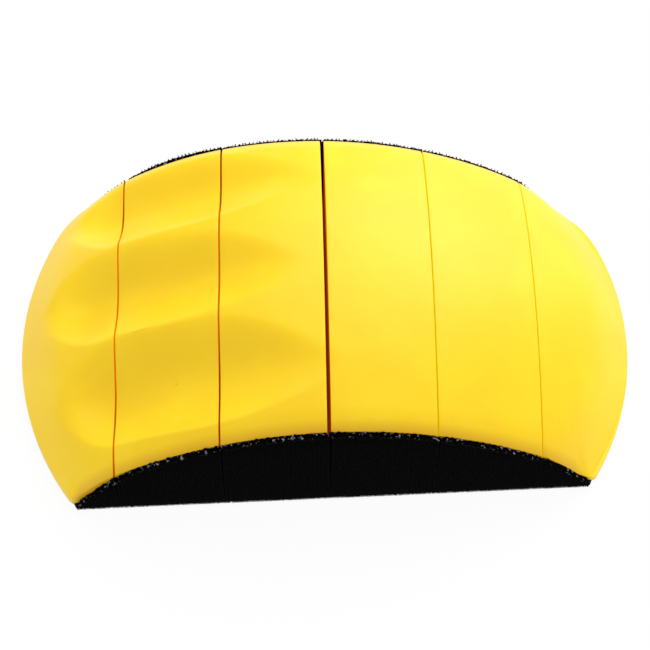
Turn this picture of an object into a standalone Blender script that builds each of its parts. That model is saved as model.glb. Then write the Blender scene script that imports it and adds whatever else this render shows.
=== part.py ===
"""Flexible hand sanding block: a domed foam moulding, slit into six fingers, on a folded hook facing.

X runs along the block, with the finger grooves towards -X, Y runs across it, and Z is up.
The sole lies on the plane Z = 0, and the origin is the middle of the sole.
"""
import math

import bmesh
import bpy

# Foam moulding, a little narrower at the palm end, +X
BLOCK_LENGTH = 0.150
WALL_TO_WALL = 0.0832
WALL_DRAW_IN = 0.0023
CROWN_HEIGHT = 0.0423
DOME_OVERREACH = 0.0045
DOME_POWER = 0.88
END_EDGE_HEIGHT = 0.0015
END_WALL_SLOPE = 1.4
SHOULDER_BLEND = 0.0015
CORNER_BLEND = 0.002
CORNER_FADE = 0.004

# Rounded edge where the dome meets a long wall
EDGE_DROP = 0.001
EDGE_SLOPE = 1.3
EDGE_BLEND = 0.003
EDGE_FADE_SHARE = 0.3

# Finger grooves
GROOVE_WIDTH = 0.0265
GROOVE_DEPTH = 0.0065
GROOVE_CREST_POWER = 0.7
GROOVE_NARROWING = 0.4
ROUND_END_SHARE = 0.24
FADE_END_SHARE = 0.54
# Far, middle and near groove: where each starts and ends, as shares of the block's half length and half width
GROOVE_LINE_SHARES = (
    ((-0.88, 0.685), (0.013, 0.613)),
    ((-0.947, 0.06), (-0.04, -0.06)),
    ((-0.88, -0.565), (0.067, -0.661)),
)

# Slits across the foam, evenly spaced from the grooved end to the palm end
SLIT_WIDTHS = (0.0006, 0.0006, 0.00115, 0.0005, 0.0005)
WEB_HEIGHT = 0.004
WEB_WIDTH = 0.005

# Hook facing
FACING_THICKNESS = 0.0015
FACING_FOLD_RADIUS = 0.0016
FACING_END_INSET = 0.0015
FACING_EDGE_INSET = 0.0004
FACING_SLIT_EXTRA = 0.0001

# Clearance between pieces that touch, and the overrun of a cut
CLEARANCE = 0.0003
CUT_OVERRUN = 0.002

# Facets
FOAM_STATIONS = 7
END_STATIONS = 12
TOP_POINTS = 49
CORNER_POINTS = 4
FOLD_POINTS = 5
FACING_STATIONS = 9

half_length = BLOCK_LENGTH / 2
dome_reach = half_length + DOME_OVERREACH
foam_base = FACING_THICKNESS + CLEARANCE
end_edge_z = foam_base + END_EDGE_HEIGHT
slit_count = len(SLIT_WIDTHS)
finger_count = slit_count + 1
slit_places = [(index + 1) * BLOCK_LENGTH / finger_count - half_length for index in range(slit_count)]
groove_lines = [
    [(x_share * half_length, y_share * WALL_TO_WALL / 2) for x_share, y_share in line_shares]
    for line_shares in GROOVE_LINE_SHARES
]
fold_length = FACING_FOLD_RADIUS * math.pi / 2
facing_radius = half_length - FACING_END_INSET


# Helpers for the scene and its materials
def clear_scene():
    for item in list(bpy.data.objects):
        bpy.data.objects.remove(item, do_unlink=True)


def new_collection(name):
    collection = bpy.data.collections.new(name)
    bpy.context.scene.collection.children.link(collection)
    return collection


def new_material(name, colour, roughness, metallic=0.0):
    material = bpy.data.materials.new(name)
    material.use_nodes = True
    shader = material.node_tree.nodes["Principled BSDF"]
    shader.inputs["Base Color"].default_value = (*colour, 1)
    shader.inputs["Roughness"].default_value = roughness
    shader.inputs["Metallic"].default_value = metallic
    return material


def new_object(name, mesh, collection, material, place=(0, 0, 0)):
    """Makes a named object whose origin is at place, from a mesh given in the block's own frame."""
    for vertex in mesh.vertices:
        vertex.co = [vertex.co[axis] - place[axis] for axis in range(3)]
    item = bpy.data.objects.new(name, mesh)
    item.location = place
    mesh.materials.append(material)
    collection.objects.link(item)
    return item


# The moulding's outer form
def soft_min(first, second, blend):
    """The lesser of two heights, rounded over where they come within blend of each other."""
    if blend <= 0:
        return min(first, second)
    share = max(blend - abs(first - second), 0) / blend
    return min(first, second) - share * share * blend / 4


def wall_y(x):
    """How far each long wall of the moulding stands from the middle."""
    return WALL_TO_WALL / 2 - WALL_DRAW_IN * x / half_length


def crown_height(x, y):
    """The dome with its steeper end walls, before the edges and grooves."""
    radius = math.hypot(x, y * wall_y(0) / wall_y(x))
    dome = CROWN_HEIGHT * max(1 - (radius / dome_reach) ** 2, 0) ** DOME_POWER
    end_wall = end_edge_z + END_WALL_SLOPE * max(half_length - radius, 0)
    return soft_min(dome, end_wall, SHOULDER_BLEND)


def half_width(x):
    """Half the moulding's width: straight walls, then round ends."""
    round_end = math.sqrt(max(half_length ** 2 - x ** 2, 0))
    return soft_min(wall_y(x), round_end, CORNER_BLEND) if round_end > CORNER_BLEND else round_end


def edge_drop(x):
    wall_top = crown_height(x, half_width(x))
    return min(EDGE_DROP, EDGE_FADE_SHARE * max(wall_top - end_edge_z, 0))


def groove_depth(x, y):
    """Three scoops side by side, round at the block's end and fading out towards its middle."""
    depth = 0
    for (start, start_y), (end, end_y) in groove_lines:
        if not start < x < end:
            continue
        middle = start_y + (end_y - start_y) * (x - start) / (end - start)
        round_in = math.sin(math.pi / 2 * min((x - start) / (end - start) / ROUND_END_SHARE, 1)) ** 2
        fade_out = math.sin(math.pi / 2 * min((end - x) / (end - start) / FADE_END_SHARE, 1)) ** 2
        reach = GROOVE_WIDTH / 2 * (round_in * fade_out) ** GROOVE_NARROWING
        if abs(y - middle) < reach:
            bowl = (0.5 + 0.5 * math.cos(math.pi * (y - middle) / reach)) ** GROOVE_CREST_POWER
            depth = max(depth, GROOVE_DEPTH * bowl * round_in * fade_out)
    return depth


def top_height(x, y):
    drop = edge_drop(x)
    width = half_width(x)
    edge = crown_height(x, width) - drop + EDGE_SLOPE * max(width - abs(y), 0)
    return soft_min(crown_height(x, y), edge, EDGE_BLEND * drop / EDGE_DROP) - groove_depth(x, y)


def foam_section(x):
    """The closed outline of the moulding across the block at x, as Y and Z."""
    width = half_width(x)
    beyond_fold = facing_flat_y(x) - math.sqrt(max(facing_radius ** 2 - x ** 2, 0))
    corner = (FACING_FOLD_RADIUS - CLEARANCE) * (1 - min(max(beyond_fold / CORNER_FADE, 0), 1))
    side = []
    for step in range(CORNER_POINTS):
        angle = math.pi / 2 * step / (CORNER_POINTS - 1)
        side.append((width - corner * (1 - math.sin(angle)), foam_base + corner * (1 - math.cos(angle))))
    top = []
    for step in range(TOP_POINTS):
        y = width * math.sin(math.pi * (0.5 - step / (TOP_POINTS - 1)))
        top.append((y, top_height(x, y)))
    return side + top + [(-y, z) for y, z in reversed(side)]


def loft(name, sections):
    """A closed solid through sections of equal length, each given as its X and its outline."""
    form = bmesh.new()
    rings = [[form.verts.new((x, y, z)) for y, z in outline] for x, outline in sections]
    for near, far in zip(rings, rings[1:]):
        for index in range(len(near)):
            after = (index + 1) % len(near)
            form.faces.new((near[index], near[after], far[after], far[index]))
    form.faces.new(rings[0])
    form.faces.new(rings[-1])
    bmesh.ops.remove_doubles(form, verts=form.verts, dist=CLEARANCE / 30)
    bmesh.ops.recalc_face_normals(form, faces=form.faces)
    mesh = bpy.data.meshes.new(name)
    form.to_mesh(mesh)
    form.free()
    return mesh


def facing_flat_y(x):
    """How far the facing lies flat before it folds up a wall."""
    return wall_y(x) + CLEARANCE - FACING_FOLD_RADIUS


# Where the fingers begin and end
def finger_span(index, gaps):
    """The X where finger number index starts and ends, with a gap at each slit."""
    start = -half_length if index == 0 else slit_places[index - 1] + gaps[index - 1] / 2
    end = half_length if index == slit_count else slit_places[index] - gaps[index] / 2
    return start, end


def stations(start, end, reach, even_count):
    """Even steps along a middle finger, and steps that close up towards a round end."""
    if abs(start) < reach and abs(end) < reach:
        return [start + (end - start) * step / (even_count - 1) for step in range(even_count)]
    low = math.asin(max(start / reach, -1))
    high = math.asin(min(end / reach, 1))
    angles = [low + (high - low) * (step + 0.5) / END_STATIONS for step in range(END_STATIONS)]
    inner = [reach * math.sin(angle) for angle in angles]
    return inner + [end] if start <= -reach else [start] + inner


def foam_finger(index, collection, material, pivot):
    start, end = finger_span(index, SLIT_WIDTHS)
    places = stations(start, end, half_length, FOAM_STATIONS)
    mesh = loft(f"foam_segment_{index + 1}", [(x, foam_section(x)) for x in places])
    item = new_object(f"foam_segment_{index + 1}", mesh, collection, material, pivot)
    mesh.shade_smooth()
    mesh.set_sharp_from_angle(angle=math.radians(40))
    return item


# The uncut foam web under each slit, and the rebate that it lies in
def web_cutter(index, collection):
    low = foam_base - CUT_OVERRUN
    high = foam_base + WEB_HEIGHT + CLEARANCE
    bpy.ops.mesh.primitive_cube_add(size=1, location=(slit_places[index], 0, (low + high) / 2))
    cutter = bpy.context.object
    cutter.name = f"web_rebate_{index + 1}"
    cutter.scale = (WEB_WIDTH + 2 * CLEARANCE, 2 * (wall_y(slit_places[index]) + CUT_OVERRUN), high - low)
    bpy.ops.object.transform_apply(location=False, rotation=False, scale=True)
    cutter.display_type = "WIRE"
    cutter.hide_render = True
    for owner in list(cutter.users_collection):
        owner.objects.unlink(cutter)
    collection.objects.link(cutter)
    return cutter


def cut(item, cutter):
    modifier = item.modifiers.new("web rebate", "BOOLEAN")
    modifier.operation = "DIFFERENCE"
    modifier.object = cutter


def flex_web(index, collection, material):
    """A strip of foam the shape of the moulding's lowest few millimetres."""
    x = slit_places[index]
    top = foam_base + WEB_HEIGHT
    sections = []
    for place in (x - WEB_WIDTH / 2, x + WEB_WIDTH / 2):
        side = foam_section(place)[:CORNER_POINTS]
        corners = [(side[-1][0], top), (-side[-1][0], top)]
        sections.append((place, side + corners + [(-y, z) for y, z in reversed(side)]))
    mesh = loft(f"flex_web_{index + 1}", sections)
    return new_object(f"flex_web_{index + 1}", mesh, collection, material, (x, 0, FACING_THICKNESS))


# The hook facing: a flat blank, folded up both walls
def bend(x, along):
    """The Y and Z of the facing's glued side, at X and a distance across it from the middle."""
    side = math.copysign(1, along)
    past_flat = abs(along) - facing_flat_y(x)
    if past_flat <= 0:
        return along, FACING_THICKNESS
    angle = min(past_flat / FACING_FOLD_RADIUS, math.pi / 2)
    y = facing_flat_y(x) + FACING_FOLD_RADIUS * math.sin(angle)
    rise = FACING_FOLD_RADIUS * (1 - math.cos(angle)) + max(past_flat - fold_length, 0)
    return side * y, FACING_THICKNESS + rise


def facing_reach(x):
    """How far the blank reaches from its middle: a disc, trimmed to follow the dome's edge."""
    round_end = math.sqrt(max(facing_radius ** 2 - x ** 2, 0))
    foam_edge = top_height(x, half_width(x)) - FACING_EDGE_INSET
    trimmed = facing_flat_y(x) + fold_length + foam_edge - FACING_THICKNESS - FACING_FOLD_RADIUS
    return min(round_end, trimmed)


def hook_pad(index, collection, material, pivot):
    start, end = finger_span(index, [width + FACING_SLIT_EXTRA for width in SLIT_WIDTHS])
    limited = max(start, -facing_radius), min(end, facing_radius)
    places = stations(*limited, facing_radius, FACING_STATIONS)
    form = bmesh.new()
    near = [form.verts.new((x, -facing_reach(x), 0)) for x in places]
    far = [form.verts.new((x, facing_reach(x), 0)) for x in reversed(places)]
    form.faces.new(near + far)
    for step in range(FOLD_POINTS):
        line = facing_flat_y(0) + fold_length * step / (FOLD_POINTS - 1)
        for side in (-1, 1):
            geometry = form.verts[:] + form.edges[:] + form.faces[:]
            across = (WALL_DRAW_IN / half_length, side, 0)
            bmesh.ops.bisect_plane(form, geom=geometry, plane_co=(0, side * line, 0), plane_no=across)
    for vertex in form.verts:
        vertex.co.y, vertex.co.z = bend(vertex.co.x, vertex.co.y)
    name = f"hook_pad_{index + 1}"
    mesh = bpy.data.meshes.new(name)
    form.to_mesh(mesh)
    form.free()
    item = new_object(name, mesh, collection, material, pivot)
    thicken = item.modifiers.new("facing thickness", "SOLIDIFY")
    thicken.thickness = FACING_THICKNESS
    thicken.offset = -1
    thicken.use_even_offset = True
    return item


def finger_pivot(index):
    """Each finger turns about the slit on the side of the middle, at the facing's glued side."""
    if index == finger_count // 2 - 1:
        return (0, 0, 0)
    slit = index if index < finger_count // 2 else index - 1
    return (slit_places[slit], 0, FACING_THICKNESS)


def main():
    clear_scene()
    parts = new_collection("flexible_sanding_block")
    cutters = new_collection("cutters")
    foam = new_material("yellow_polyurethane_foam", (0.95, 0.72, 0.02), 0.45)
    hook = new_material("black_hook_facing", (0.012, 0.012, 0.014), 0.7)
    rebates = [web_cutter(index, cutters) for index in range(slit_count)]
    for index in range(finger_count):
        pivot = finger_pivot(index)
        finger = foam_finger(index, parts, foam, pivot)
        for neighbour in rebates[max(index - 1, 0):index + 1]:
            cut(finger, neighbour)
        hook_pad(index, parts, hook, pivot)
    for index in range(slit_count):
        flex_web(index, parts, foam)


main()
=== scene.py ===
# Flexible sanding block: six fingers of moulded yellow foam, on a black hook facing folded up both walls.
# X runs along the block, with the finger grooves towards -X, Y runs across it, and the sole rests on Z = 0.
# Side -1 is the near long wall, and side 1 the far one.
import math
import random

import bpy
from mathutils import Matrix, Vector, noise


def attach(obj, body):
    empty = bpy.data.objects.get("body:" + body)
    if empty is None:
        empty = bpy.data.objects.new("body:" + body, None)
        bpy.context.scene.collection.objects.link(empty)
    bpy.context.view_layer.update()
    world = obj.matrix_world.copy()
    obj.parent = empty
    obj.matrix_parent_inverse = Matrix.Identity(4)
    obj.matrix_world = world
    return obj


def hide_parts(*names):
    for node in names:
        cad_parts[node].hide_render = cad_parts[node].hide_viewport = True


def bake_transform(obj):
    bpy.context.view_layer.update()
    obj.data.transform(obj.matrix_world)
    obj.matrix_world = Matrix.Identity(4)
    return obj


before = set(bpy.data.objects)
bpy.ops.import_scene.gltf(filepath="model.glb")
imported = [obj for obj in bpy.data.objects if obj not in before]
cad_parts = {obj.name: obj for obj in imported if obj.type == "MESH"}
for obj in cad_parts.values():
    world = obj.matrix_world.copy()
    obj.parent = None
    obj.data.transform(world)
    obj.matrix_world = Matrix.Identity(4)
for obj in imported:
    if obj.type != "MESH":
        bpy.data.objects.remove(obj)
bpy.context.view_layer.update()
print("frame loaded:", len(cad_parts), "CAD nodes")

touching = 0.00001  # Places this close count as one

# The moulding's sizes are the CAD model's own, apart from the slits' widths, the corners' blends and the far
# wall's draw-in, which follow the photo
block = {
    "halfLength": 0.075,
    "halfWidth": 0.0416,
    "wallDrawIn": 0.0023,
    "crown": 0.0423,
    "domeReach": 0.0795,
    "domePower": 0.88,
    "endEdge": 0.0015,
    "endSlope": 1.4,
    "shoulderBlend": 0.0015,
    "cornerBlend": {-1: 0.0006, 1: 0.008},
    "cornerBlendFrom": 0.01,
    "farDrawStart": 0.025,
    "farDrawEnd": 0.062,
    "farDrawIn": ((0.0026, 2), (0.0023, 5)),  # how far, and its power, at the grooved end and the palm end
    "edgeDrop": 0.001,
    "edgeSlope": 1.3,
    "edgeBlend": 0.003,
    "edgeFade": 0.3,
    "clearance": 0.0003,
    "facing": 0.0015,
    "slits": (-0.05, -0.025, 0.0, 0.025, 0.05),
    "slitWidths": (0.00045, 0.00045, 0.0009, 0.0003, 0.0003),
    "fingers": 6,
}
# The grooves lie as in the CAD model, but are fuller on their near side and softer on their far one
grooves = {
    "reach": 0.01325,
    "depth": 0.0065,
    "farPower": 0.9,
    "nearPower": 0.55,
    "narrowing": 0.4,
    "roundEnd": 0.24,
    "fadeEnd": 0.54,
    "lines": (  # far, middle and near groove: where each starts and ends
        ((-0.066, 0.0285), (0.001, 0.0255)),
        ((-0.071, 0.0025), (-0.003, -0.0025)),
        ((-0.066, -0.0235), (0.005, -0.0275)),
    ),
}
foamBase = block["facing"] + block["clearance"]
endEdgeZ = foamBase + block["endEdge"]


def softMin(first, second, blend):
    if blend <= 0:
        return min(first, second)
    share = max(blend - abs(first - second), 0) / blend
    return min(first, second) - share * share * blend / 4


def wallY(x):
    return block["halfWidth"] - block["wallDrawIn"] * x / block["halfLength"]


def crownHeight(x, y):
    radius = math.hypot(x, y * block["halfWidth"] / wallY(x))
    dome = block["crown"] * max(1 - (radius / block["domeReach"]) ** 2, 0) ** block["domePower"]
    endWall = endEdgeZ + block["endSlope"] * max(block["halfLength"] - radius, 0)
    return softMin(dome, endWall, block["shoulderBlend"])


def sideWallY(x, side):
    # The far wall draws in towards its corners, which are rounder in plan than the near ones
    if side < 0:
        return wallY(x)
    past = max(abs(x) - block["farDrawStart"], 0) / (block["farDrawEnd"] - block["farDrawStart"])
    reach, power = block["farDrawIn"][x > 0]
    return wallY(x) - reach * past ** power


def cutCorner(x, wall, side):
    # The round end takes over from the wall, with a blend that the tip doesn't need
    roundEnd = math.sqrt(max(block["halfLength"] ** 2 - x ** 2, 0))
    blend = block["cornerBlend"][side] if roundEnd > block["cornerBlendFrom"] else 0
    return softMin(wall, roundEnd, blend)


def halfWidthAt(x, side=-1):
    return cutCorner(x, sideWallY(x, side), side)


def edgeDropAt(wallTop):
    return min(block["edgeDrop"], block["edgeFade"] * max(wallTop - endEdgeZ, 0))


def grooveDepth(x, y):
    depth = 0
    for (start, startY), (end, endY) in grooves["lines"]:
        if not start < x < end:
            continue
        middle = startY + (endY - startY) * (x - start) / (end - start)
        roundIn = math.sin(math.pi / 2 * min((x - start) / (end - start) / grooves["roundEnd"], 1)) ** 2
        fadeOut = math.sin(math.pi / 2 * min((end - x) / (end - start) / grooves["fadeEnd"], 1)) ** 2
        reach = grooves["reach"] * (roundIn * fadeOut) ** grooves["narrowing"]
        if abs(y - middle) < reach:
            power = grooves["farPower"] if y > middle else grooves["nearPower"]
            bowl = (0.5 + 0.5 * math.cos(math.pi * (y - middle) / reach)) ** power
            depth = max(depth, grooves["depth"] * bowl * roundIn * fadeOut)
    return depth


def topHeight(x, y):
    # The dome follows the far wall where it draws in
    side = 1 if y > 0 else -1
    full, width = cutCorner(x, wallY(x), side), max(halfWidthAt(x, side), touching)
    out = abs(y) + (full - width) * min(abs(y) / width, 1) ** 2 if side > 0 else abs(y)
    drop = edgeDropAt(crownHeight(x, full))
    edge = crownHeight(x, full) - drop + block["edgeSlope"] * max(full - out, 0)
    rounding = block["edgeBlend"] * drop / block["edgeDrop"]
    return softMin(crownHeight(x, out), edge, rounding) - grooveDepth(x, y)


# Hook facing: its folds, its rim at the moulding's edge, and the strips that stay whole under the slits
facing = {
    "foldRadius": 0.0009,
    "radius": 0.0742,
    "edgeInset": 0.0003,
    "farInset": 0.00105,
    "farShift": 0.0014,
    "farShiftOver": 0.03,
    "farRise": {"at": -0.037, "spread": 0.016, "height": 0.0006},
    "farDip": {"start": 0.049, "over": 0.009, "depth": 0.0018, "power": 1.5},
    "backing": 0.0011,
    "step": 0.0003,
    "roundSteps": 64,
    "stripSteps": 14,
    "flatColumns": 9,
    "foldColumns": 7,
    "wallColumns": 7,
    "leastWidth": 0.0002,
    "endSpare": 0.00002,
    "easeLength": 0.012,
    "stripHalf": 0.006,
    "slitGap": 0.00012,
    "closing": (0.0123, 0.0088, 0.0210, 0.0071, 0.0088),  # how much each gap widens with height, to close
    "cutSlant": 0.0004,
    "cutSlantOver": 0.002,
    "cutSlantReach": 0.0009,
    "rollIn": 0.0002,
    "rollWidth": 0.00005,
    "smoothAngle": 50,
}
foldLength = facing["foldRadius"] * math.pi / 2


def facingFlatY(x, side=-1):
    return sideWallY(x, side) + block["clearance"] - facing["foldRadius"]


def farInsetAt(x):
    # The rim on the far wall stands highest between slits 1 and 2, and dips at the palm end
    rise, dip = facing["farRise"], facing["farDip"]
    away = min(abs(x - rise["at"]) / rise["spread"], 1)
    past = min(max((x - dip["start"]) / dip["over"], 0), 1) ** dip["power"]
    raised = rise["height"] * (0.5 + 0.5 * math.cos(math.pi * away))
    return facing["farInset"] - raised + dip["depth"] * past


def facingReach(x, side=-1):
    # The disc lies a little towards the near side, so its rim is lower on the far wall
    way = 1 if side > 0 else -1
    roundEnd = math.sqrt(max(facing["radius"] ** 2 - x ** 2, 0))
    if way > 0:
        roundEnd -= facing["farShift"] * min(roundEnd / facing["farShiftOver"], 1)
    foamEdge = topHeight(x, way * halfWidthAt(x, way)) - (farInsetAt(x) if way > 0 else facing["edgeInset"])
    trimmed = facingFlatY(x, way) + foldLength + foamEdge - block["facing"] - facing["foldRadius"]
    return min(roundEnd, trimmed)


def bendBlank(x, along):
    # The glued side's place, and the way out of the facing, at x and a distance across the flat blank
    side = math.copysign(1, along)
    past = abs(along) - facingFlatY(x, side)
    if past <= 0:
        return Vector((x, along, block["facing"])), Vector((0, 0, -1))
    angle = min(past / facing["foldRadius"], math.pi / 2)
    y = facingFlatY(x, side) + facing["foldRadius"] * math.sin(angle)
    rise = facing["foldRadius"] * (1 - math.cos(angle)) + max(past - foldLength, 0)
    outward = Vector((0, side * math.sin(angle), -math.cos(angle)))
    return Vector((x, side * y, block["facing"] + rise)), outward


def blankDistance(place):
    # How far across the flat blank a place on the glued side lies
    side = math.copysign(1, place.y)
    flat = facingFlatY(place.x, side)
    if abs(place.y) <= flat:
        return place.y
    rise = place.z - block["facing"]
    if rise >= facing["foldRadius"]:
        return side * (flat + foldLength + rise - facing["foldRadius"])
    angle = math.acos(max(min(1 - rise / facing["foldRadius"], 1), 0))
    return side * (flat + facing["foldRadius"] * angle)


# Helpers for pieces and materials
def deselectAll():
    if bpy.context.object and bpy.context.object.mode != "OBJECT":
        bpy.ops.object.mode_set(mode="OBJECT")
    bpy.ops.object.select_all(action="DESELECT")


def pickOnly(piece):
    deselectAll()
    piece.select_set(True)
    bpy.context.view_layer.objects.active = piece


def nameLast(name):
    piece = bpy.context.object
    piece.name = name
    piece.data.name = name
    return piece


def applyModifier(piece, kind, **settings):
    pickOnly(piece)
    modifier = piece.modifiers.new(kind.lower(), kind)
    for key, value in settings.items():
        setattr(modifier, key, value)
    bpy.ops.object.modifier_apply(modifier=modifier.name)


def smoothByAngle(piece, degrees):
    pickOnly(piece)
    bpy.ops.object.shade_smooth_by_angle(angle=math.radians(degrees))


def addGrid(name, rows):
    # A flat grid with one point for each entry of rows, and those entries in the order of its points
    long, wide = len(rows) - 1, len(rows[0]) - 1
    deselectAll()
    bpy.ops.mesh.primitive_grid_add(x_subdivisions=long, y_subdivisions=wide, size=1)
    piece = nameLast(name)
    entries = [rows[round((vertex.co.x + 0.5) * long)][round((vertex.co.y + 0.5) * wide)]
               for vertex in piece.data.vertices]
    return piece, entries


def setAttribute(piece, name, values):
    piece.data.attributes.new(name, "FLOAT", "POINT").data.foreach_set("value", values)


def linear(hexColour):
    channels = [int(hexColour[i:i + 2], 16) / 255 for i in (1, 3, 5)]
    return (*[c / 12.92 if c <= 0.04045 else ((c + 0.055) / 1.055) ** 2.4 for c in channels], 1)


def addNode(tree, kind, settings=None, inputs=None):
    node = tree.nodes.new(kind)
    for key, value in (settings or {}).items():
        setattr(node, key, value)
    for key, value in (inputs or {}).items():
        if isinstance(value, bpy.types.NodeSocket):
            tree.links.new(value, node.inputs[key])
        else:
            node.inputs[key].default_value = value
    return node


def readAttribute(tree, name):
    return addNode(tree, "ShaderNodeAttribute", {"attribute_name": name}).outputs["Fac"]


def mapRange(tree, value, fromRange=(0.0, 1.0), toRange=(0.0, 1.0), kind="LINEAR"):
    return addNode(tree, "ShaderNodeMapRange", {"interpolation_type": kind}, {
        "Value": value, "From Min": fromRange[0], "From Max": fromRange[1],
        "To Min": toRange[0], "To Max": toRange[1],
    }).outputs[0]


def mixColours(tree, share, first, second, kind="MIX"):
    settings = {"data_type": "RGBA", "blend_type": kind}
    return addNode(tree, "ShaderNodeMix", settings, {0: share, 6: first, 7: second}).outputs[2]


def combine(tree, operation, first, second):
    return addNode(tree, "ShaderNodeMath", {"operation": operation}, {0: first, 1: second}).outputs[0]


def linkBump(tree, shader, height, strength, distance):
    bump = addNode(tree, "ShaderNodeBump", None, {
        "Height": height, "Strength": strength, "Distance": distance,
    })
    tree.links.new(bump.outputs["Normal"], shader.inputs["Normal"])


def newMaterial(name):
    material = bpy.data.materials.new(name)
    material.use_nodes = True
    return material, material.node_tree, material.node_tree.nodes["Principled BSDF"]


# Self-skinned polyurethane foam: a satin skin, faintly mottled, with fine texture from the mould
foamLook = {
    "colour": "#fad205",
    "deeper": "#f8cd03",
    "mottle": 0.016,
    "mottleRange": (0.35, 0.7),
    "paler": "#fbd710",
    "veil": 0.03,
    "veilRange": (0.5, 0.75),
    "veilShares": (0.0, 0.6),
    "pinholePitch": 0.014,
    "pinholeSize": 0.00022,
    "pinholeShades": (0.86, 1.0),
    "edge": "#dc9e02",  # painted shade on the rounded last stretch above the facing
    "paintedEdgeShadeShares": (0.62, 0.0),
    "paintedEdgeShadeWidth": {-1: 0.0028, 1: 0.0012},
    "edgeLeastWall": 0.003,
    "grain": 0.0007,
    "grainHeight": 0.00003,
    "grainStrength": 0.35,
    "roughness": 0.41,
    "specular": 0.43,
}


def foamMaterial():
    material, tree, shader = newMaterial("selfSkinnedFoam")
    place = addNode(tree, "ShaderNodeTexCoord").outputs["Object"]
    mottle = addNode(tree, "ShaderNodeTexNoise", None, {
        "Vector": place, "Scale": 1 / foamLook["mottle"], "Detail": 3.0, "Roughness": 0.55,
    })
    share = mapRange(tree, mottle.outputs["Fac"], foamLook["mottleRange"], kind="SMOOTHSTEP")
    colour = mixColours(tree, share, linear(foamLook["deeper"]), linear(foamLook["colour"]))
    veil = addNode(tree, "ShaderNodeTexNoise", None, {
        "Vector": place, "Scale": 1 / foamLook["veil"], "Detail": 4.0, "Distortion": 1.2,
    })
    share = mapRange(tree, veil.outputs["Fac"], foamLook["veilRange"], foamLook["veilShares"], "SMOOTHSTEP")
    colour = mixColours(tree, share, colour, linear(foamLook["paler"]))
    pinhole = addNode(tree, "ShaderNodeTexVoronoi", None, {
        "Vector": place, "Scale": 1 / foamLook["pinholePitch"],
    }).outputs["Distance"]
    size = foamLook["pinholeSize"] / foamLook["pinholePitch"]
    shade = mapRange(tree, pinhole, (size, 2 * size), foamLook["pinholeShades"], "SMOOTHSTEP")
    colour = mixColours(tree, 1.0, colour, shade, "MULTIPLY")
    # Painted shade: the skin darkens to ochre along the last stretch above the facing, where its rounded edge
    # turns from the light
    edge = readAttribute(tree, "pastEdge")
    share = mapRange(tree, edge, toRange=foamLook["paintedEdgeShadeShares"], kind="SMOOTHSTEP")
    colour = mixColours(tree, share, colour, linear(foamLook["edge"]))
    grain = addNode(tree, "ShaderNodeTexNoise", None, {
        "Vector": place, "Scale": 1 / foamLook["grain"], "Detail": 2.0,
    })
    linkBump(tree, shader, grain.outputs["Fac"], foamLook["grainStrength"], foamLook["grainHeight"])
    tree.links.new(colour, shader.inputs["Base Color"])
    shader.inputs["Roughness"].default_value = foamLook["roughness"]
    shader.inputs["Specular IOR Level"].default_value = foamLook["specular"]
    return material


# Painted shade in the slits: the cut foam is drawn ochre at a slit's rim, then orange and brown to near black
# with depth, as painted interreflection and shade, with a painted glow standing in for light through the
# foam.
# The two slits that are nearly shut are painted as yellow as the skin near the top, as painted light let in
# through them.
slitLook = {
    "rim": "#e09a02",
    "middle": "#b85e00",
    "deep": "#ac4002",
    "bottom": "#460a00",
    "depths": (0.0006, 0.0035, 0.018, 0.038),
    "deepen": (0.9, 1.0, 1.0, 1.0, 1.0),
    "webDepth": 0.02,
    "shut": "#e8df04",
    "shutSlits": (3, 4),
    "shutShares": (0.75, 1.0),  # towards the near wall and the far one
    "shutFade": 0.05,
    "shutDepths": (0.007, 0.016),
    "paintedGlow": 0.24,
    "cell": 0.0005,
    "cellHeight": 0.0001,
    "cellStrength": 0.4,
    "roughness": 0.7,
    "specular": 0.1,
}


def slitMaterial():
    material, tree, shader = newMaterial("slitFoam")
    depth = readAttribute(tree, "slitDepth")
    colour = linear(foamLook["colour"])
    depths = (0.0, *slitLook["depths"])
    # Painted shade: the colour darkens with depth down the slit
    for low, high, tone in zip(depths, depths[1:], ("rim", "middle", "deep", "bottom")):
        colour = mixColours(tree, mapRange(tree, depth, (low, high)), colour, linear(slitLook[tone]))
    # Painted light: the nearly shut slits are brought back to a lit yellow
    colour = mixColours(tree, readAttribute(tree, "shutShare"), colour, linear(slitLook["shut"]))
    place = addNode(tree, "ShaderNodeTexCoord").outputs["Object"]
    cells = addNode(tree, "ShaderNodeTexVoronoi", None, {"Vector": place, "Scale": 1 / slitLook["cell"]})
    linkBump(tree, shader, cells.outputs["Distance"], slitLook["cellStrength"], slitLook["cellHeight"])
    tree.links.new(colour, shader.inputs["Base Color"])
    # Painted glow: the slit colour is also emitted, standing in for light through the foam
    tree.links.new(colour, shader.inputs["Emission Color"])
    shader.inputs["Emission Strength"].default_value = slitLook["paintedGlow"]
    shader.inputs["Roughness"].default_value = slitLook["roughness"]
    shader.inputs["Specular IOR Level"].default_value = slitLook["specular"]
    return material


# Black polyamide: moulded hooks with a dull shine, on a woven backing of the same yarn with pale grey flecks
# at its rim
hookLook = {
    "hook": "#040406",
    "yarn": "#020204",
    "patch": 0.003,
    "roughness": (0.38, 0.6),
    "specular": 0.06,
    "yarnPitch": 0.0007,
    "yarnHeight": 0.00008,
    "yarnStrength": 0.6,
    "yarnWander": 0.6,
    "waveAngle": 20,  # how many radians a wave texture turns by over a unit of X
    "rimFleck": "#75727b",
    "rimFleckSize": 0.0009,
    "rimFleckRange": (0.6, 0.66),
    "rimFleckReach": (0.0005, 0.0001),
    "backingRoughness": 0.75,
    "backingSpecular": 0.02,
}


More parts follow.
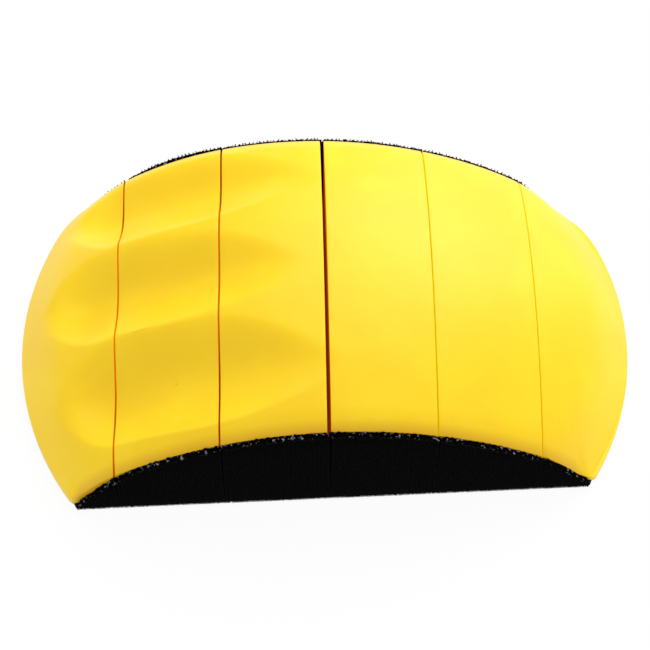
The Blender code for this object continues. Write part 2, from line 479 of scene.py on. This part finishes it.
def hookMaterial():
    material, tree, shader = newMaterial("polyamideHook")
    place = addNode(tree, "ShaderNodeTexCoord").outputs["Object"]
    patch = addNode(tree, "ShaderNodeTexNoise", None, {
        "Vector": place, "Scale": 1 / hookLook["patch"], "Detail": 2.0,
    }).outputs["Fac"]
    colour = mixColours(tree, patch, linear(hookLook["yarn"]), linear(hookLook["hook"]))
    tree.links.new(colour, shader.inputs["Base Color"])
    tree.links.new(mapRange(tree, patch, toRange=hookLook["roughness"]), shader.inputs["Roughness"])
    shader.inputs["Specular IOR Level"].default_value = hookLook["specular"]
    return material


def backingMaterial():
    material, tree, shader = newMaterial("wovenPolyamideBacking")
    place = addNode(tree, "ShaderNodeTexCoord").outputs["Object"]
    warp, weft = [addNode(tree, "ShaderNodeTexWave", {"bands_direction": way}, {
        "Vector": place,
        "Scale": 2 * math.pi / hookLook["yarnPitch"] / hookLook["waveAngle"],
        "Distortion": hookLook["yarnWander"],
    }).outputs["Fac"] for way in ("X", "DIAGONAL")]
    weave = combine(tree, "MAXIMUM", warp, weft)
    linkBump(tree, shader, weave, hookLook["yarnStrength"], hookLook["yarnHeight"])
    # Pale grey flecks, in sparse noise, near the cut rim of the backing
    nearRim = mapRange(tree, readAttribute(tree, "rimDistance"), hookLook["rimFleckReach"])
    rimFleck = addNode(tree, "ShaderNodeTexNoise", None, {
        "Vector": place, "Scale": 1 / hookLook["rimFleckSize"], "Detail": 3.0,
    })
    flecked = combine(tree, "MULTIPLY", nearRim, mapRange(tree, rimFleck.outputs["Fac"], hookLook["rimFleckRange"]))
    colour = mixColours(tree, flecked, linear(hookLook["yarn"]), linear(hookLook["rimFleck"]))
    tree.links.new(colour, shader.inputs["Base Color"])
    shader.inputs["Roughness"].default_value = hookLook["backingRoughness"]
    shader.inputs["Specular IOR Level"].default_value = hookLook["backingSpecular"]
    return material


foamSkin = foamMaterial()
slitFoam = slitMaterial()
hookNylon = hookMaterial()
wovenBacking = backingMaterial()
print("materials made")

# Foam fingers: a grid wrapped round the moulding's sections, with soft rims at the slits
finger = {
    "step": 0.0008,
    "roundSteps": 44,
    "topColumns": 161,
    "wallColumns": 8,
    "cornerColumns": 6,
    "bottomColumns": 8,
    "rim": 0.00013,
    "rimSteps": 3,
    "faceInset": 3,  # a ring inside a slit's rim, in rims
    "corner": 0.0007,
    "cornerFade": 0.0012,
    "cornerLeast": 0.05,
    "rebateHalf": 0.0028,
    "rebateHeight": 0.0043,
    "rebateSpare": 0.0002,
    "cutOverrun": 0.002,
    "cutWidth": 0.1,
    "slitSpare": 0.00002,
    "baseSpare": 0.0001,
    "sidewaysLeast": 0.1,
    "smoothAngle": 38,
}


def fingerSpan(index, gaps):
    start = -block["halfLength"] if index == 0 else block["slits"][index - 1] + gaps[index - 1] / 2
    last = index == block["fingers"] - 1
    end = block["halfLength"] if last else block["slits"][index] - gaps[index] / 2
    return start, end


def nearestSlit(x):
    return min(range(len(block["slits"])), key=lambda index: abs(x - block["slits"][index]))


def outlineAt(x, inset):
    # Round the moulding at x, as Y and Z from the middle of its underside and back there, drawn in by inset.
    # A point's third value says how far the inset lifts it.
    widths = {side: halfWidthAt(x, side) for side in (1, -1)}
    sides = []
    for side, width in widths.items():
        points = []
        folded = (facingReach(x, side) - facingFlatY(x, side)) / finger["cornerFade"]
        corner = min(finger["corner"] * min(max(folded, finger["cornerLeast"]), 1), width)
        wallTop = topHeight(x, side * width)
        for step in range(finger["bottomColumns"]):
            points.append((side * (width - corner) * step / finger["bottomColumns"], foamBase, 1))
        for step in range(finger["cornerColumns"]):
            angle = math.pi / 2 * step / (finger["cornerColumns"] - 1)
            y = width - corner * (1 - math.sin(angle))
            points.append((side * y, foamBase + corner * (1 - math.cos(angle)), 1))
        for step in range(1, finger["wallColumns"]):
            share = step / finger["wallColumns"]
            z = foamBase + corner + (wallTop - foamBase - corner) * share
            points.append((side * width, z, 1 - 2 * share))
        sides.append(points)
    top = []
    for step in range(finger["topColumns"]):
        across = math.sin(math.pi * (0.5 - step / (finger["topColumns"] - 1)))
        y = across * widths[1 if across > 0 else -1]
        top.append((y, topHeight(x, y), -1))
    outline = sides[0] + top + sides[1][::-1]
    squeeze = 1 - inset / widths[1] if widths[1] > inset else 1
    return [(y * squeeze, z + inset * lift) for y, z, lift in outline]


def fingerStations(index):
    # Along a finger, as X and inset: soft rims at its slits, and closer steps towards a round end
    start, end = fingerSpan(index, block["slitWidths"])
    rims = []
    for step in range(finger["rimSteps"] + 1):
        angle = math.pi / 2 * step / finger["rimSteps"]
        rims.append((finger["rim"] * (1 - math.sin(angle)), finger["rim"] * (1 - math.cos(angle))))
    rims.append((0.0, finger["faceInset"] * finger["rim"]))
    startRims = [] if index == 0 else [(start + back, inset) for back, inset in reversed(rims)]
    endRims = [] if index == block["fingers"] - 1 else [(end - back, inset) for back, inset in rims]
    low = startRims[-1][0] if startRims else start
    high = endRims[0][0] if endRims else end
    if startRims and endRims:
        count = round((high - low) / finger["step"])
        inner = [low + (high - low) * step / count for step in range(1, count)]
    else:
        lowAngle = math.asin(max(low / block["halfLength"], -1))
        highAngle = math.asin(min(high / block["halfLength"], 1))
        count = finger["roundSteps"]
        angles = [lowAngle + (highAngle - lowAngle) * step / count for step in range(count + 1)]
        inner = [block["halfLength"] * math.sin(angle) for angle in angles]
        inner = inner[:-1] if endRims else inner[1:]
    return startRims + [(x, 0.0) for x in inner] + endRims


def modelFoamFinger(index):
    rows = [[(x, y, z) for y, z in outlineAt(x, inset)] for x, inset in fingerStations(index)]
    piece, places = addGrid(f"foamFinger{index + 1}", rows)
    for vertex, place in zip(piece.data.vertices, places):
        vertex.co = place
    bpy.ops.object.mode_set(mode="EDIT")
    bpy.ops.mesh.select_all(action="SELECT")
    bpy.ops.mesh.remove_doubles(threshold=touching)
    bpy.ops.mesh.fill_holes(sides=0)
    bpy.ops.mesh.select_all(action="SELECT")
    bpy.ops.mesh.normals_make_consistent(inside=False)
    bpy.ops.object.mode_set(mode="OBJECT")
    piece.data.materials.append(foamSkin)
    piece.data.materials.append(slitFoam)
    for slit in block["slits"][max(index - 1, 0):index + 1]:
        cutRebate(piece, slit)
    ends = [end for end in fingerSpan(index, block["slitWidths"]) if abs(end) < block["halfLength"]]
    for polygon in piece.data.polygons:
        polygon.material_index = 1 if isCut(polygon, ends) else 0
    depths, shuts = zip(*[slitShares(vertex.co) for vertex in piece.data.vertices])
    setAttribute(piece, "slitDepth", depths)
    setAttribute(piece, "shutShare", shuts)
    setAttribute(piece, "pastEdge", [pastEdge(vertex.co) for vertex in piece.data.vertices])
    smoothByAngle(piece, finger["smoothAngle"])
    return piece


def isCut(polygon, ends):
    # The faces in a slit, and in the rebate that it runs into, are cut foam, drawn with the slits' painted
    # shade and glow
    x, _, z = polygon.center
    if min(abs(x - end) for end in ends) < finger["slitSpare"]:
        return True
    atSlit = min(abs(x - slit) for slit in block["slits"]) < finger["rebateHalf"] + finger["rebateSpare"]
    atRebate = finger["baseSpare"] < z - foamBase < finger["rebateHeight"] + finger["rebateSpare"]
    return atSlit and atRebate and abs(polygon.normal.y) < finger["sidewaysLeast"]


def slitShares(place):
    # How deep in its slit a place counts as, for the painted shade, and its share of the lit yellow painted
    # into the slits that are nearly shut
    down = max(topHeight(place.x, place.y) - place.z, 0)
    slit = nearestSlit(place.x)
    low, high = slitLook["shutDepths"]
    near, far = slitLook["shutShares"]
    along = near + (far - near) * min(max(0.5 + place.y / slitLook["shutFade"], 0), 1)
    shut = min(max((high - down) / (high - low), 0), 1) * along if slit in slitLook["shutSlits"] else 0
    return down * slitLook["deepen"][slit], shut


def pastEdge(place):
    # 0 at the top of a long wall that is tall enough to carry the facing, 1 beyond the band of painted edge
    # shade
    side = 1 if place.y > 0 else -1
    width = halfWidthAt(place.x, side)
    wall = topHeight(place.x, side * width) - endEdgeZ
    lowWall = 1 - min(max(wall / foamLook["edgeLeastWall"], 0), 1)
    return (width - abs(place.y)) / foamLook["paintedEdgeShadeWidth"][side] + lowWall


def cutRebate(piece, slit):
    low, high = foamBase - finger["cutOverrun"], foamBase + finger["rebateHeight"]
    deselectAll()
    bpy.ops.mesh.primitive_cube_add(size=1, location=(slit, 0, (low + high) / 2))
    cutter = nameLast("rebateCutter")
    cutter.scale = (2 * finger["rebateHalf"], finger["cutWidth"], high - low)
    bpy.ops.object.transform_apply(location=True, rotation=False, scale=True)
    applyModifier(piece, "BOOLEAN", operation="DIFFERENCE", object=cutter, solver="EXACT")
    bpy.data.objects.remove(cutter, do_unlink=True)


for index in range(block["fingers"]):
    piece = modelFoamFinger(index)
    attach(piece, f"finger_{index + 1}")
    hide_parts(f"foam_segment_{index + 1}")
print("foam fingers made")

# Flex webs: the foam that a slit leaves whole, with a shallow round trough where the slit ends
web = {
    "length": 0.005,
    "height": 0.004,
    "cuts": 9,
    "corner": 0.0007,
    "cornerSteps": 6,
    "trough": 0.0006,
    "edgeSpare": 0.0001,
    "smoothAngle": 38,
}


def modelFlexWeb(index):
    slit = block["slits"][index]
    deselectAll()
    bpy.ops.mesh.primitive_cube_add(size=1, location=(slit, 0, foamBase + web["height"] / 2))
    piece = nameLast(f"flexWeb{index + 1}")
    piece.scale = (web["length"], 2 * wallY(slit), web["height"])
    bpy.ops.object.transform_apply(location=True, rotation=False, scale=True)
    bpy.ops.object.mode_set(mode="EDIT")
    for cut in range(1, web["cuts"] + 1):
        place = slit - web["length"] / 2 + web["length"] * cut / (web["cuts"] + 1)
        bpy.ops.mesh.select_all(action="SELECT")
        bpy.ops.mesh.bisect(plane_co=(place, 0, 0), plane_no=(1, 0, 0))
    bpy.ops.object.mode_set(mode="OBJECT")
    for vertex in piece.data.vertices:
        side = 1 if vertex.co.y > 0 else -1
        vertex.co.y = side * halfWidthAt(vertex.co.x, side)
        if vertex.co.z > foamBase + web["height"] / 2:
            away = abs(vertex.co.x - slit) / (web["length"] / 4)
            vertex.co.z -= web["trough"] * math.sqrt(max(1 - away * away, 0))
    bpy.context.tool_settings.mesh_select_mode = (False, True, False)
    for edge in piece.data.edges:
        start, end = [piece.data.vertices[corner].co for corner in edge.vertices]
        atBase = max(start.z, end.z) < foamBase + web["edgeSpare"]
        edge.select = atBase and abs(start.y - end.y) < web["edgeSpare"]
    pickOnly(piece)
    bpy.ops.object.mode_set(mode="EDIT")
    bpy.ops.mesh.bevel(offset=web["corner"], segments=web["cornerSteps"], affect="EDGES")
    bpy.ops.object.mode_set(mode="OBJECT")
    # Painted shade: the web takes the dark brown of a slit's depth, with the slit material's painted glow
    piece.data.materials.append(slitFoam)
    setAttribute(piece, "slitDepth", [slitLook["webDepth"]] * len(piece.data.vertices))
    smoothByAngle(piece, web["smoothAngle"])
    return piece


def blendAcross(piece, index):
    # Bakes the piece's place into its mesh. The span across its slit is worked out, but nothing uses it
    slit, half = block["slits"][index], web["length"] / 2
    start, end = (slit - half, 0, 0), (slit + half, 0, 0)
    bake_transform(piece)
    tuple(start)
    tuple(end)


for index in range(len(block["slits"])):
    piece = modelFlexWeb(index)
    blendAcross(piece, index)
    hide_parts(f"flex_web_{index + 1}")
print("flex webs made")


# The hook facing's woven backing: pads on the fingers, and strips that run on under the slits
def wallGap(index, z):
    return facing["slitGap"] + facing["closing"][index] * max(z - block["facing"], 0)


def columnPlace(column, x, side=-1):
    # A column's distance across half the blank at x, and its share round the fold
    reach = facingReach(x, side)
    flat = min(facingFlatY(x, side), reach)
    spare = reach - flat if reach - flat > facing["leastWidth"] else 0
    fold = min(foldLength, spare)
    if column < facing["flatColumns"]:
        return flat * column / facing["flatColumns"], 0
    share = (column - facing["flatColumns"]) / facing["foldColumns"]
    if share < 1:
        return flat + fold * share, share
    wall = spare - fold if spare - fold > facing["leastWidth"] else 0
    up = column - facing["flatColumns"] - facing["foldColumns"]
    return flat + fold + wall * up / facing["wallColumns"], 1


def seamAt(index, z):
    # The cuts in the walls slant, so on the hooks' side they come out a little past the slit
    onWall = min(max((z - block["facing"] - facing["foldRadius"]) / facing["cutSlantOver"], 0), 1)
    return block["slits"][index] + facing["cutSlant"] * onWall


def cutHalf(index, share, z):
    # How far a pad's end stands from the middle of its slit: at the strip's edge on the sole, close on a wall
    ease = share * share * (3 - 2 * share)
    return facing["stripHalf"] * (1 - ease) + wallGap(index, z) / 2 * ease


# The cut edge's teeth: pitch and height on the near and the far wall, and how uneven they are
fray = {
    "teeth": {-1: (0.00145, 0.0008), 1: (0.00105, 0.0007)},
    "wander": 0.35,
    "wanderLength": 0.004,
    "wanderSeed": 3.1,
    "tall": 0.55,
    "tallSpread": 0.9,
    "tallSeed": 7.3,
    "leastTall": 0.1,
    "toothSeed": 1.7,
    "level": 0.5,
    "fadeOver": 0.001,
}


def frayedTooth(x, side):
    # Yarn ends stand up along the cut edge, in teeth that fade out where the wall does
    pitch, height = fray["teeth"][side]
    wander = noise.noise(Vector((x / fray["wanderLength"], fray["wanderSeed"] * side, 0)))
    tooth = x / pitch + fray["wander"] * wander
    spot = Vector((math.floor(tooth) * fray["toothSeed"], fray["tallSeed"] * side, fray["level"]))
    tall = max(fray["tall"] + fray["tallSpread"] * noise.noise(spot), fray["leastTall"])
    wall = facingReach(x, side) - facingFlatY(x, side) - foldLength
    onWall = min(max(wall / fray["fadeOver"], 0), 1)
    return height * tall * (1 - abs(2 * (tooth % 1) - 1)) * onWall


def modelBacking(name, blankRows, slantAt=lambda place: 0.0):
    # blankRows holds, for each station, points as X and distance across the flat blank
    piece, spots = addGrid(name, blankRows)
    rims = []
    for vertex, (x, along) in zip(piece.data.vertices, spots):
        vertex.co, _ = bendBlank(x, along)
        rims.append(facingReach(x, along) - abs(along) if abs(along) > facingFlatY(x, along) else 1.0)
    setAttribute(piece, "rimDistance", rims)
    setAttribute(piece, "slant", [slantAt(vertex.co) for vertex in piece.data.vertices])
    bpy.ops.object.mode_set(mode="EDIT")
    bpy.ops.mesh.select_all(action="SELECT")
    bpy.ops.mesh.remove_doubles(threshold=touching)
    bpy.ops.object.mode_set(mode="OBJECT")
    outward = []
    for vertex, rim in zip(piece.data.vertices, piece.data.attributes["rimDistance"].data):
        outward.append(bendBlank(vertex.co.x, blankDistance(vertex.co))[1])
        if rim.value < facing["rollWidth"]:
            vertex.co -= outward[-1] * facing["rollIn"]
    applyModifier(piece, "SOLIDIFY", thickness=facing["backing"], offset=-1)
    slants = [Vector((slant.value, 0, 0)) for slant in piece.data.attributes["slant"].data]
    vertices = piece.data.vertices
    for index, out in enumerate(outward):
        hookSide = vertices[index].co + out * facing["backing"] + slants[index]
        vertices[index + len(outward)].co = hookSide
        vertices[index].co -= slants[index]
    piece.data.attributes.remove(piece.data.attributes["slant"])
    piece.data.materials.append(wovenBacking)
    smoothByAngle(piece, facing["smoothAngle"])
    return piece


def blankRow(middle, columns, shift):
    # A station's points across the blank, from the near rim to the far one. shift gives how far a point moves
    # along the block, from its share round the fold and its height.
    halves = []
    for side in (-1, 1):
        half = []
        for column in range(columns + 1):
            along, fold = columnPlace(column, middle, side)
            x = middle + shift(fold, bendBlank(middle, along)[0].z)
            half.append((x, side * columnPlace(column, x, side)[0]))
        halves.append(half)
    return halves[0][:0:-1] + halves[1]


def flatSize(blankRows):
    xs, alongs = zip(*[spot for row in blankRows for spot in row])
    return max(xs) - min(xs), max(alongs) - min(alongs)


def padSpan(index):
    # From the middle of one slit to the middle of the next
    return fingerSpan(index, [0.0] * len(block["slits"]))


def padStations(index):
    # Places along a pad, closer together towards a round end
    start, end = padSpan(index)
    if 0 < index < block["fingers"] - 1:
        count = round((end - start) / facing["step"])
        return [start + (end - start) * step / count for step in range(count + 1)]
    limit = facing["radius"] - facing["endSpare"]
    low, high = [math.asin(min(max(place, -limit), limit) / facing["radius"]) for place in (start, end)]
    count = facing["roundSteps"]
    return [facing["radius"] * math.sin(low + (high - low) * step / count) for step in range(count + 1)]


def padShift(index, x, fold, z):
    # The cuts at a pad's ends push its points in, which eases off along it
    start, end = padSpan(index)
    ease = end - start if 0 < index < block["fingers"] - 1 else facing["easeLength"]
    fromStart, fromEnd = [min(away / ease, 1) for away in (x - start, end - x)]
    low = cutHalf(index - 1, fold, z) * (1 - fromStart) if index > 0 else 0
    high = cutHalf(index, fold, z) * (1 - fromEnd) if index < block["fingers"] - 1 else 0
    return low - high


def padRows(index):
    columns = facing["flatColumns"] + facing["foldColumns"] + facing["wallColumns"]
    rows = []
    for middle in padStations(index):
        row = blankRow(middle, columns, lambda fold, z: padShift(index, middle, fold, z))
        for rim, side in ((0, -1), (-1, 1)):
            x, along = row[rim]
            row[rim] = (x, along + side * frayedTooth(x, side))
        rows.append(row)
    return rows


def stripRows(index):
    columns = facing["flatColumns"] + facing["foldColumns"]
    rows = []
    for step in range(facing["stripSteps"] + 1):
        share = 2 * step / facing["stripSteps"] - 1
        rows.append(blankRow(block["slits"][index], columns, lambda fold, z: share * cutHalf(index, fold, z)))
    return rows


def padSlant(index):
    start, end = padSpan(index)

    def slantAt(place):
        if index > 0 and place.x - start < facing["cutSlantReach"]:
            return seamAt(index - 1, place.z) - start
        if index < block["fingers"] - 1 and end - place.x < facing["cutSlantReach"]:
            return seamAt(index, place.z) - end
        return 0.0

    return slantAt


# A hook: a post that leans over and curls, drawn out of a square
hook = {
    "height": 0.0004,
    "post": 0.00014,
    "moves": (  # up, out and turn of each stretch
        (0.00019, 0.00001, 6),
        (0.00013, 0.00005, 34),
        (0.00007, 0.0001, 52),
        (-0.00005, 0.00007, 50),
    ),
    "thin": 0.88,
    "sunk": 0.00005,
    "smoothAngle": 60,
}
# The rows of hooks, with how far they vary and how far they keep from the rim and the cuts
pile = {
    "seed": 11,
    "pitch": 0.001,
    "reach": 0.0745,
    "halfCount": 71,
    "jitter": 0.0001,
    "turn": 24,
    "lean": 8,
    "size": (0.9, 1.0),
    "endSpare": 0.0004,
    "rimSpare": 0.0003,
    "stripSpare": 0.0002,
    "cutSpare": 0.0003,
    "curlAway": 0.001,
    "rimPitch": 0.0009,
    "rimEndSpare": 0.0006,
    "rimTilt": (30, 84),
    "rimLean": 18,
    "rimSize": (1.0, 1.5),
    "rimDepth": (0.0001, 0.0003),
    "foldPitch": 0.0005,
    "foldRows": 4,
    "foldStart": 0.4,
    "foldStep": 0.14,
    "foldSize": (0.85, 1.0),
}


def modelHook():
    deselectAll()
    bpy.ops.mesh.primitive_circle_add(vertices=4, radius=hook["post"], fill_type="NOTHING")
    piece = nameLast("hookShape")
    bpy.ops.object.mode_set(mode="EDIT")
    bpy.ops.mesh.select_all(action="SELECT")
    centre = Vector((0, 0, 0))
    for up, out, turn in hook["moves"]:
        bpy.ops.mesh.extrude_edges_move(TRANSFORM_OT_translate={"value": (out, 0, up)})
        centre += Vector((out, 0, up))
        bpy.ops.transform.rotate(value=-math.radians(turn), orient_axis="Y", center_override=centre)
        bpy.ops.transform.resize(value=(hook["thin"],) * 3, center_override=centre)
    bpy.ops.mesh.select_all(action="SELECT")
    bpy.ops.mesh.fill_holes(sides=0)
    bpy.ops.mesh.select_all(action="SELECT")
    bpy.ops.mesh.normals_make_consistent(inside=False)
    bpy.ops.object.mode_set(mode="OBJECT")
    # The faces are sorted, because Blender lists them in another order each run
    points = [vertex.co.copy() for vertex in piece.data.vertices]
    faces = sorted(tuple(polygon.vertices) for polygon in piece.data.polygons)
    bpy.data.objects.remove(piece, do_unlink=True)
    return points, faces


hookPoints, hookFaces = modelHook()
hookScale = hook["height"] / max(point.z for point in hookPoints)


def hookMatrix(x, along, turn, lean, tilt, size):
    place, out = bendBlank(x, along)
    across = Vector((0, -out.z, out.y))
    lengthwise = Vector((1, 0, 0))
    up = (out * math.cos(tilt) + lengthwise * math.tan(lean) + across * math.sin(tilt)).normalized()
    ahead = lengthwise * math.cos(turn) + across * math.sin(turn)
    ahead = (ahead - up * ahead.dot(up)).normalized()
    sideways = up.cross(ahead)
    turned = Matrix((ahead, sideways, up)).transposed().to_4x4()
    turned.translation = place + out * (facing["backing"] - hook["sunk"])
    return turned @ Matrix.Scale(size * hookScale, 4)


def settleHook(groups, x, spot, turn, lean, tilt, size):
    # Adds a hook to the pad or strip that carries it. Right beside a cut there is none, and near one it curls
    # away.
    slit = nearestSlit(x)
    z = bendBlank(x, spot)[0].z
    seam = seamAt(slit, z)
    away = abs(x - seam)
    share = min(max((abs(spot) - facingFlatY(x, spot)) / foldLength, 0), 1)
    cut = cutHalf(slit, share, z)
    home = ("pad", slit + (x > seam))
    if share < 1 and away < cut - pile["stripSpare"]:
        home = ("strip", slit)
    elif away < cut + pile["cutSpare"]:
        return
    elif away < cut + pile["curlAway"]:
        turn, lean = 0 if x > seam else math.pi, 0
    groups.setdefault(home, []).append(hookMatrix(x, spot, turn, lean, tilt, size))


def jitter(draw):
    return draw.uniform(-pile["jitter"], pile["jitter"])


def placeHooks():
    # Every hook of the facing, in rows, sorted into the pads and the strips that carry it
    draw = random.Random(pile["seed"])
    groups = {}
    rowCount = round(2 * pile["reach"] / pile["pitch"])
    for row in range(-rowCount // 2, rowCount // 2 + 1):
        for step in range(-pile["halfCount"], pile["halfCount"] + 1):
            x = (step + 0.5 * (row % 2)) * pile["pitch"] + jitter(draw)
            spot = (row + 0.5) * pile["pitch"] + jitter(draw)
            turn = math.radians(draw.gauss(0, pile["turn"])) + (math.pi if row % 2 else 0)
            lean, tilt = (math.radians(draw.gauss(0, pile["lean"])) for _ in range(2))
            size = draw.uniform(*pile["size"])
            pastEnd = abs(x) > facing["radius"] - pile["endSpare"]
            if not pastEnd and abs(spot) <= facingReach(x, spot) - pile["rimSpare"]:
                settleHook(groups, x, spot, turn, lean, tilt, size)
    addRimHooks(draw, groups)
    addFoldHooks(draw, groups)
    return groups


def addRimHooks(draw, groups):
    # The last hooks before the cut edge stand every way, and some rise past it
    count = round(2 * facing["radius"] / pile["rimPitch"])
    end = facing["radius"] - pile["rimEndSpare"]
    for step in range(count):
        x = -end + 2 * end * step / (count - 1)
        for side in (-1, 1):
            turn = math.radians(draw.uniform(0, 360))
            tilt = side * math.radians(draw.uniform(*pile["rimTilt"]))
            lean = math.radians(draw.gauss(0, pile["rimLean"]))
            size = draw.uniform(*pile["rimSize"])
            reach = facingReach(x, side)
            if reach >= facingFlatY(x, side) + foldLength:
                spot = side * (reach - draw.uniform(*pile["rimDepth"]))
                settleHook(groups, x, spot, turn, lean, tilt, size)


def addFoldHooks(draw, groups):
    # The fold's own rows, close together where they draw the block's lower line
    count = round(2 * facing["radius"] / pile["foldPitch"])
    for step in range(count):
        for row in range(pile["foldRows"]):
            x = -facing["radius"] + (step + 0.5 * (row % 2)) * pile["foldPitch"] + jitter(draw)
            turn = math.radians(draw.uniform(0, 360))
            size = draw.uniform(*pile["foldSize"])
            past = foldLength * (pile["foldStart"] + pile["foldStep"] * row)
            for side in (-1, 1):
                spot = side * (facingFlatY(x, side) + past)
                if facingReach(x, side) > abs(spot) + pile["rimSpare"]:
                    settleHook(groups, x, spot, turn, 0, 0, size)


def growHooks(name, matrices):
    points, faces = [], []
    for matrix in matrices:
        first = len(points)
        points += [matrix @ point for point in hookPoints]
        faces += [tuple(first + corner for corner in face) for face in hookFaces]
    mesh = bpy.data.meshes.new(name)
    mesh.from_pydata(points, [], faces)
    piece = bpy.data.objects.new(name, mesh)
    bpy.context.scene.collection.objects.link(piece)
    mesh.materials.append(hookNylon)
    smoothByAngle(piece, hook["smoothAngle"])
    return piece


hookGroups = placeHooks()
for index in range(block["fingers"]):
    rows = padRows(index)
    pad = modelBacking(f"hookPad{index + 1}", rows, padSlant(index))
    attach(pad, f"finger_{index + 1}")
    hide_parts(f"hook_pad_{index + 1}")
    hooks = growHooks(f"hooks{index + 1}", hookGroups[("pad", index)])
    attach(hooks, f"finger_{index + 1}")
    flatSize(rows)
for index in range(len(block["slits"])):
    rows = stripRows(index)
    strip = modelBacking(f"hookStrip{index + 1}", rows)
    hooks = growHooks(f"stripHooks{index + 1}", hookGroups[("strip", index)])
    for piece in (strip, hooks):
        blendAcross(piece, index)
    flatSize(rows)
print("hook facing made:", sum(len(group) for group in hookGroups.values()), "hooks")

# Floor, lights and camera
stage = {"floorSize": 6.0, "floorColour": "#f4f4f4", "roughness": 0.9, "specular": 0.1, "whiteShare": 0.94}


def floorMaterial():
    # White to the camera and in reflections, and a plain pale floor to the rest of the light
    material, tree, shader = newMaterial("paperFloor")
    shader.inputs["Base Color"].default_value = linear(stage["floorColour"])
    shader.inputs["Roughness"].default_value = stage["roughness"]
    shader.inputs["Specular IOR Level"].default_value = stage["specular"]
    white = addNode(tree, "ShaderNodeEmission", None, {"Color": (1, 1, 1, 1), "Strength": 1.0})
    path = addNode(tree, "ShaderNodeLightPath")
    seen = combine(tree, "MAXIMUM", path.outputs["Is Camera Ray"], path.outputs["Is Glossy Ray"])
    seen = combine(tree, "MAXIMUM", seen, path.outputs["Is Transmission Ray"])
    share = combine(tree, "MULTIPLY", seen, stage["whiteShare"])
    mix = addNode(tree, "ShaderNodeMixShader", None, {0: share, 1: shader.outputs[0], 2: white.outputs[0]})
    output = next(node for node in tree.nodes if node.type == "OUTPUT_MATERIAL")
    tree.links.new(mix.outputs[0], output.inputs["Surface"])
    return material


deselectAll()
bpy.ops.mesh.primitive_plane_add(size=stage["floorSize"])
floor = nameLast("floor")
floor.data.materials.append(floorMaterial())

lights = {
    "world": 0.82,
    "mirrored": 0.06,
    "aim": (0, 0, 0.02),
    "key": {"energy": 4.5, "size": 0.9, "place": (0.55, 0.74, 0.5)},
    "overhead": {"energy": 7.4, "size": 1.3, "place": (0.25, 0.6, 0.95)},
}


def addWorld():
    # White behind the floor, an even light on the object, and dim in its gloss
    world = bpy.data.worlds.new("studio")
    bpy.context.scene.world = world
    world.use_nodes = True
    tree = world.node_tree
    background = tree.nodes["Background"]
    path = addNode(tree, "ShaderNodeLightPath")
    seen = combine(tree, "MAXIMUM", path.outputs["Is Camera Ray"], path.outputs["Is Transmission Ray"])
    lit = mapRange(tree, path.outputs["Is Glossy Ray"], toRange=(lights["world"], lights["mirrored"]))
    tree.links.new(mapRange(tree, seen, toRange=(lit, 1.0)), background.inputs["Strength"])
    background.inputs["Color"].default_value = (1, 1, 1, 1)


def addLight(name, energy, size, place):
    deselectAll()
    bpy.ops.object.light_add(type="AREA", location=place)
    lamp = bpy.context.object
    lamp.name = name
    lamp.data.energy = energy
    lamp.data.size = size
    lamp.rotation_euler = (Vector(lights["aim"]) - Vector(place)).to_track_quat("-Z", "Y").to_euler()


addWorld()
for name in ("key", "overhead"):
    addLight(name, **lights[name])

camera = {
    "elevation": 57.0,
    "yaw": -0.027,
    "roll": 0.006,
    "distance": 0.508,
    "target": (0, 0, 0.015),
    "focalPixels": 2084,
    "shiftPixels": -9.3,
    "image": 650,
    "sensor": 36,
    "clipStart": 0.01,
}


def addCamera():
    rise = math.radians(camera["elevation"])
    right = Vector((math.cos(camera["yaw"]), math.sin(camera["yaw"]), 0))
    back = Vector((right.y * math.cos(rise), -right.x * math.cos(rise), math.sin(rise)))
    up = back.cross(right)
    cosine, sine = math.cos(camera["roll"]), math.sin(camera["roll"])
    rolled = cosine * right + sine * up, cosine * up - sine * right
    deselectAll()
    bpy.ops.object.camera_add()
    view = bpy.context.object
    view.name = "photoCamera"
    matrix = Matrix((rolled[0], rolled[1], back)).transposed().to_4x4()
    matrix.translation = Vector(camera["target"]) + back * camera["distance"]
    view.matrix_world = matrix
    view.data.sensor_width = camera["sensor"]
    view.data.lens = camera["focalPixels"] * camera["sensor"] / camera["image"]
    view.data.shift_y = camera["shiftPixels"] / camera["image"]
    view.data.clip_start = camera["clipStart"]
    bpy.context.scene.camera = view


addCamera()
bpy.context.scene.view_settings.view_transform = "Standard"
deselectAll()
print("stage, lights and camera made")
